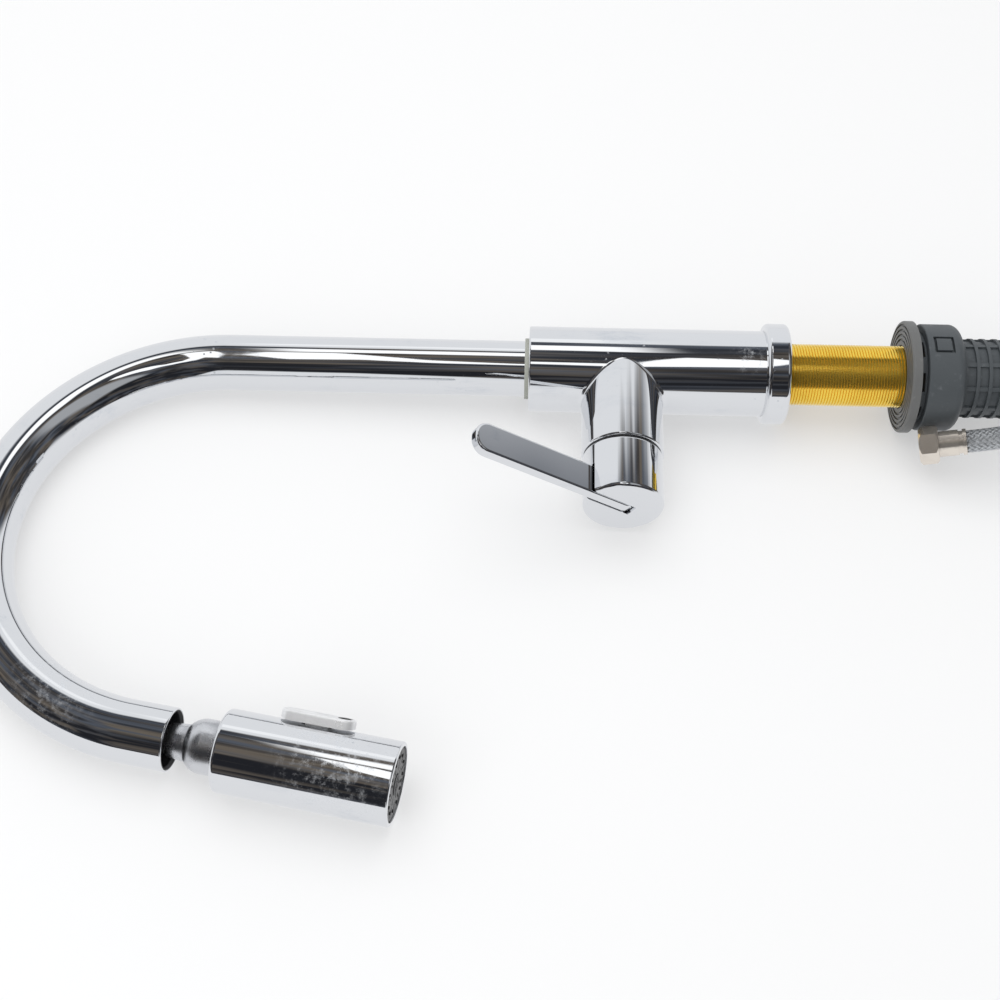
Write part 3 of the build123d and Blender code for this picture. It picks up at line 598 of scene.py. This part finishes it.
def braidTree(sizes, finish):
    g, size = startTree("wireCover", sizes)
    route = g.node("GeometryNodeMeshToCurve", None, {"Mesh": size["Geometry"]})
    route = g.node("GeometryNodeResampleCurve", {"mode": "COUNT"}, {"Curve": route, "Count": size["Steps"]})
    ring = g.node("GeometryNodeCurvePrimitiveCircle", None, {"Resolution": 12, "Radius": size["Core"]})

    def sweep(line, profile):
        return g.node("GeometryNodeCurveToMesh", None,
                      {"Curve": line, "Profile Curve": profile, "Fill Caps": True})

    def scaled(vector, by):
        return g.node("ShaderNodeVectorMath", {"operation": "SCALE"}, {0: vector, "Scale": by})

    shapes = [sweep(route, ring)]
    strip = g.node("GeometryNodeCurvePrimitiveCircle", None, {"Resolution": 4, "Radius": 1.0})
    flat = g.node("ShaderNodeCombineXYZ", None, {0: size["Thick"], 1: size["Wide"], 2: 1.0})
    strip = g.node("GeometryNodeTransform", None, {"Geometry": strip, "Scale": flat})
    along = g.node("GeometryNodeSplineParameter")
    normal = g.node("GeometryNodeInputNormal")
    tangent = g.node("GeometryNodeInputTangent")
    across = g.node("ShaderNodeVectorMath", {"operation": "CROSS_PRODUCT"}, {0: tangent, 1: normal})
    for way in (1, -1):
        strands = g.node("GeometryNodeDuplicateElements", {"domain": "SPLINE"},
                         {"Geometry": route, "Amount": size["Strands"]})
        share = (strands.also("Duplicate Index") + 0.25 * way) / size["Strands"]
        turn = (along * size["Turns"] * way + share) * math.tau
        level = scaled(normal, turn.sum("COSINE"))
        upright = scaled(across, turn.sum("SINE"))
        outward = g.node("ShaderNodeVectorMath", {"operation": "ADD"}, {0: level, 1: upright})
        faced = g.node("GeometryNodeSetCurveNormal", {"mode": "FREE"}, {"Curve": strands, "Normal": outward})
        weave = (along * size["Turns"] * size["Strands"] * math.tau).sum("SINE") * size["Wave"] * way
        push = scaled(normal, size["Ring"] + weave)
        wound = g.node("GeometryNodeSetPosition", None, {"Geometry": faced, "Offset": push})
        shapes.append(sweep(wound, strip))
    joined = g.tree.nodes.new("GeometryNodeJoinGeometry")
    for shape in shapes:
        g.tree.links.new(shape.socket, joined.inputs[0])
    return endTree(g, Sock(g, joined.outputs[0]), finish)


def makeHose(h):
    line = routeLine("hoseRoute", h["route"], h["smooth"])
    made = grow("supplyHose", braidTree(h["cover"], braidWire), h["cover"], line)
    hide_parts("supply_hose")
    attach(made, "base")
    print("supply hose", h["length"])


makeHose(hoseSet)

# spout arch and the spray hose inside it, in metres
archSet = {"low": 0.299, "radius": 0.110, "turn": 170.0}
spoutSet = {
    "bottom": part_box("spout_tube")[0][2],
    "outside": 0.015,
    "inside": 0.014,
    "run": 0.021,
    "lip": 0.0004,
    "sides": 96,
    "climbRings": 10,
    "bendRings": 170,
}
sprayHoseSet = {
    "radius": 0.005,
    "sides": 32,
    "low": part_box("spray_hose")[0][2],
    "tail": 0.007,
    "fixedTurn": 154.0,
    "blendTurn": 164.0,
    "climbRings": 12,
    "bendRings": 60,
    "leadRings": 8,
    "stretchRings": 48,
}


def archPoint(degrees, past=0.0):
    turn = math.radians(degrees)
    y = -archSet["radius"] * (1 - math.cos(turn)) - past * math.sin(turn)
    z = archSet["low"] + archSet["radius"] * math.sin(turn) + past * math.cos(turn)
    return Vector((0, y, z)), Vector((0, -math.sin(turn), math.cos(turn)))


def climb(low, steps):
    rise = archSet["low"] - low
    return [(Vector((0, 0, low + rise * n / steps)), Vector((0, 0, 1))) for n in range(steps)]


# one ring of points for each (middle, heading, radius); closed in a loop for a wall, or capped for a rod
def tube(name, rings, sides, finish, wall=False):
    points, faces, uvs, runs = [], [], [], [0.0]
    for n, (middle, heading, radius) in enumerate(rings):
        runs.append(runs[-1] + (middle - rings[n - 1][0]).length if n else 0.0)
        across = Vector((1, 0, 0))
        rise = heading.cross(across)
        for k in range(sides):
            turn = k * math.tau / sides
            points.append(middle + radius * (math.cos(turn) * across + math.sin(turn) * rise))
    for n in range(len(rings) if wall else len(rings) - 1):
        here, there = n * sides, (n + 1) % len(rings) * sides
        for k in range(sides):
            after = (k + 1) % sides
            faces.append((here + k, here + after, there + after, there + k))
            low, high = runs[n + 1], runs[(n + 1) % len(rings) + 1]
            uvs += [(k / sides, low), ((k + 1) / sides, low), ((k + 1) / sides, high), (k / sides, high)]
    if not wall:
        last = (len(rings) - 1) * sides
        faces += [tuple(reversed(range(sides))), tuple(range(last, last + sides))]
        uvs += [(k / sides, 0.0) for k in reversed(range(sides))]
        uvs += [(k / sides, runs[-1]) for k in range(sides)]
    mesh = bpy.data.meshes.new(name)
    mesh.from_pydata(points, [], faces)
    layer = mesh.uv_layers.new(name="wrap")
    for slot, uv in zip(layer.data, uvs):
        slot.uv = uv
    mesh.shade_smooth()
    mesh.set_sharp_from_angle(angle=math.radians(50))
    mesh.materials.append(finish)
    made = bpy.data.objects.new(name, mesh)
    scene.collection.objects.link(made)
    print(name, len(mesh.polygons), "faces")
    return made


def makeSpout(t):
    turn, mouth, lip = archSet["turn"], t["run"], t["lip"]
    spine = climb(t["bottom"], t["climbRings"])
    spine += [archPoint(turn * n / t["bendRings"]) for n in range(t["bendRings"] + 1)]
    # close rings before the lip keep its shading off the long run
    spine += [archPoint(turn, past) for past in (0.3 * mouth, 0.7 * mouth, mouth - 4 * lip, mouth - 2 * lip)]
    outer = [(*place, t["outside"]) for place in spine]
    outer += [(*archPoint(turn, mouth - lip), t["outside"]), (*archPoint(turn, mouth), t["outside"] - lip)]
    inner = [(*archPoint(turn, mouth), t["inside"] + 0.5 * lip),
             (*archPoint(turn, mouth - 0.5 * lip), t["inside"])]
    inner += [(*place, t["inside"]) for place in reversed(spine[::3])]
    made = tube("spoutArch", outer + inner, t["sides"], chromePlate, wall=True)
    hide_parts("spout_tube")
    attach(made, "spout")


def makeSprayHose(h):
    bend = [archPoint(h["fixedTurn"] * n / h["bendRings"]) for n in range(h["bendRings"] + 1)]
    held = [(*place, h["radius"]) for place in climb(h["low"], h["climbRings"]) + bend]
    step = (h["blendTurn"] - h["fixedTurn"]) / h["leadRings"]
    lead = [archPoint(h["fixedTurn"] + step * n) for n in range(h["leadRings"])]
    span = math.radians(archSet["turn"] - h["blendTurn"]) * archSet["radius"]
    pull = []
    for n in range(h["stretchRings"] + 1):
        s = (span + h["tail"]) * n / h["stretchRings"]
        turned = h["blendTurn"] + math.degrees(min(s, span) / archSet["radius"])
        pull.append(archPoint(turned, max(s - span, 0.0)))
    inside = tube("sprayHoseHeld", held, h["sides"], hoseSleeve)
    end = tube("sprayHoseEnd", [(*place, h["radius"]) for place in lead + pull], h["sides"], hoseSleeve)
    for piece in (inside, end):
        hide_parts("spray_hose")
    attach(inside, "spout")
    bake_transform(end)


makeSpout(spoutSet)
makeSprayHose(sprayHoseSet)
